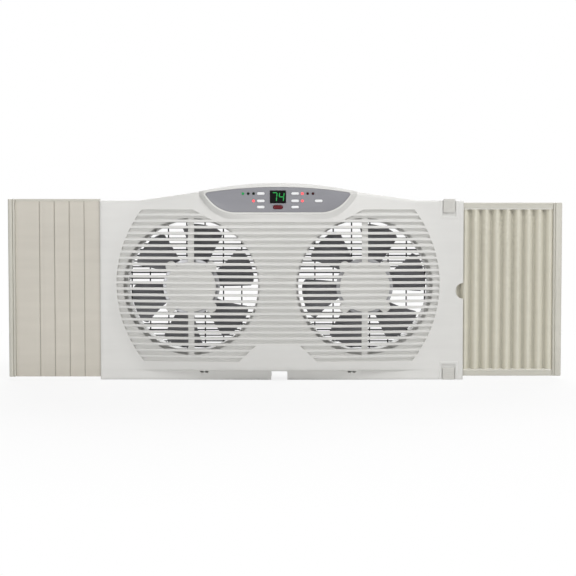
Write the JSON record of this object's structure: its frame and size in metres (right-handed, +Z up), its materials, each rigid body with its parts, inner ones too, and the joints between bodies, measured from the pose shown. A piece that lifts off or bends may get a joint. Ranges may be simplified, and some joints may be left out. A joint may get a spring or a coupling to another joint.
{
  "type": "window fan",
  "caption": "Twin window fan with slatted bulged front, control pod, and pull-out side panels that fill a sash window's width.",
  "frame": {"origin": "middle of the footprint, on the sill face", "axes": "+X to the right seen from the room, +Y from the room to the outdoors, +Z up"},
  "size_m": [0.914, 0.102, 0.3245],
  "materials": {
    "cover_grey": "fine satin, light warm grey",
    "housing_grey": "fine satin, light warm grey",
    "panel_beige": "satin, beige grey",
    "sheet_beige": "satin, cream beige",
    "pod_grey": "satin, middle grey",
    "fan_charcoal": "satin, charcoal",
    "grille_black": "matte, black",
    "key_white": "satin, white",
    "display_black": "gloss, smoked",
    "receiver_red": "gloss, dark red",
    "lamp_clear": "gloss, tinted",
    "motor_steel": "zinc plated",
    "bright_steel": "bright",
    "board_green": "satin, green",
    "rubber_black": "matte, black"
  },
  "bodies": {
    "body": {"front_cover": "cover_grey", "rear_housing": "housing_grey", "rear_grille": "grille_black", "cord_bush": "rubber_black", "motor_left": "motor_steel", "motor_right": "motor_steel", "motor_screw_left_1": "bright_steel", "motor_screw_left_2": "bright_steel", "motor_screw_left_3": "bright_steel", "motor_screw_left_4": "bright_steel", "motor_screw_right_1": "bright_steel", "motor_screw_right_2": "bright_steel", "motor_screw_right_3": "bright_steel", "motor_screw_right_4": "bright_steel", "case_screw_1": "bright_steel", "case_screw_2": "bright_steel", "case_screw_3": "bright_steel", "case_screw_4": "bright_steel", "control_panel": "pod_grey", "display_lens": "display_black", "receiver_lens": "receiver_red", "light_pipe_left": "lamp_clear", "light_pipe_right": "lamp_clear", "circuit_board": "board_green", "left_jamb_strip": "panel_beige", "right_jamb_strip": "panel_beige"},
    "left_fan": {"impeller_left": "fan_charcoal", "shaft_left": "bright_steel", "impeller_nut_left": "bright_steel"},
    "right_fan": {"impeller_right": "fan_charcoal", "shaft_right": "bright_steel", "impeller_nut_right": "bright_steel"},
    "left_panel": {"left_end_bar": "panel_beige", "left_top_rail": "panel_beige", "left_bottom_rail": "panel_beige", "left_strip_sheet": "sheet_beige"},
    "right_panel": {"right_end_bar": "panel_beige", "right_top_rail": "panel_beige", "right_bottom_rail": "panel_beige", "right_pleated_sheet": "sheet_beige"},
    "top_lock": {"lock_top": "panel_beige"},
    "bottom_lock": {"lock_bottom": "panel_beige"},
    "left_key_1": {"key_left_1": "key_white"},
    "left_key_2": {"key_left_2": "key_white"},
    "left_key_3": {"key_left_3": "key_white"},
    "right_key_1": {"key_right_1": "key_white"},
    "right_key_2": {"key_right_2": "key_white"},
    "right_key_3": {"key_right_3": "key_white"},
    "power": {"power_key": "key_white"}
  },
  "joints": [
    {"name": "left_fan_spin", "type": "hinge", "parent": "body", "child": "left_fan", "pos_m": [-0.1544, 0.01, 0.1547], "axis": [0, 1, 0], "continuous": true},
    {"name": "right_fan_spin", "type": "hinge", "parent": "body", "child": "right_fan", "pos_m": [0.1304, 0.01, 0.1547], "axis": [0, 1, 0], "continuous": true},
    {"name": "left_panel_slide", "type": "slide", "parent": "body", "child": "left_panel", "axis": [1, 0, 0], "range_m": [0, 0.12], "deforming": ["left_strip_sheet"]},
    {"name": "right_panel_slide", "type": "slide", "parent": "body", "child": "right_panel", "axis": [-1, 0, 0], "range_m": [0, 0.12], "deforming": ["right_pleated_sheet"]},
    {"name": "top_lock_slide", "type": "slide", "parent": "body", "child": "top_lock", "axis": [0, 0, -1], "range_m": [0, 0.006]},
    {"name": "bottom_lock_slide", "type": "slide", "parent": "body", "child": "bottom_lock", "axis": [0, 0, 1], "range_m": [0, 0.006]},
    {"name": "left_key_1_press", "type": "slide", "parent": "body", "child": "left_key_1", "axis": [0, 0.9848, -0.1736], "range_m": [0, 0.0012], "stiffness_N_per_m": 400},
    {"name": "left_key_2_press", "type": "slide", "parent": "body", "child": "left_key_2", "axis": [0, 0.9848, -0.1736], "range_m": [0, 0.0012], "stiffness_N_per_m": 400},
    {"name": "left_key_3_press", "type": "slide", "parent": "body", "child": "left_key_3", "axis": [0, 0.9848, -0.1736], "range_m": [0, 0.0012], "stiffness_N_per_m": 400},
    {"name": "right_key_1_press", "type": "slide", "parent": "body", "child": "right_key_1", "axis": [0, 0.9848, -0.1736], "range_m": [0, 0.0012], "stiffness_N_per_m": 400},
    {"name": "right_key_2_press", "type": "slide", "parent": "body", "child": "right_key_2", "axis": [0, 0.9848, -0.1736], "range_m": [0, 0.0012], "stiffness_N_per_m": 400},
    {"name": "right_key_3_press", "type": "slide", "parent": "body", "child": "right_key_3", "axis": [0, 0.9848, -0.1736], "range_m": [0, 0.0012], "stiffness_N_per_m": 400},
    {"name": "power_key_press", "type": "slide", "parent": "body", "child": "power", "axis": [0, 0.9848, -0.1736], "range_m": [0, 0.0012], "stiffness_N_per_m": 400}
  ]
}
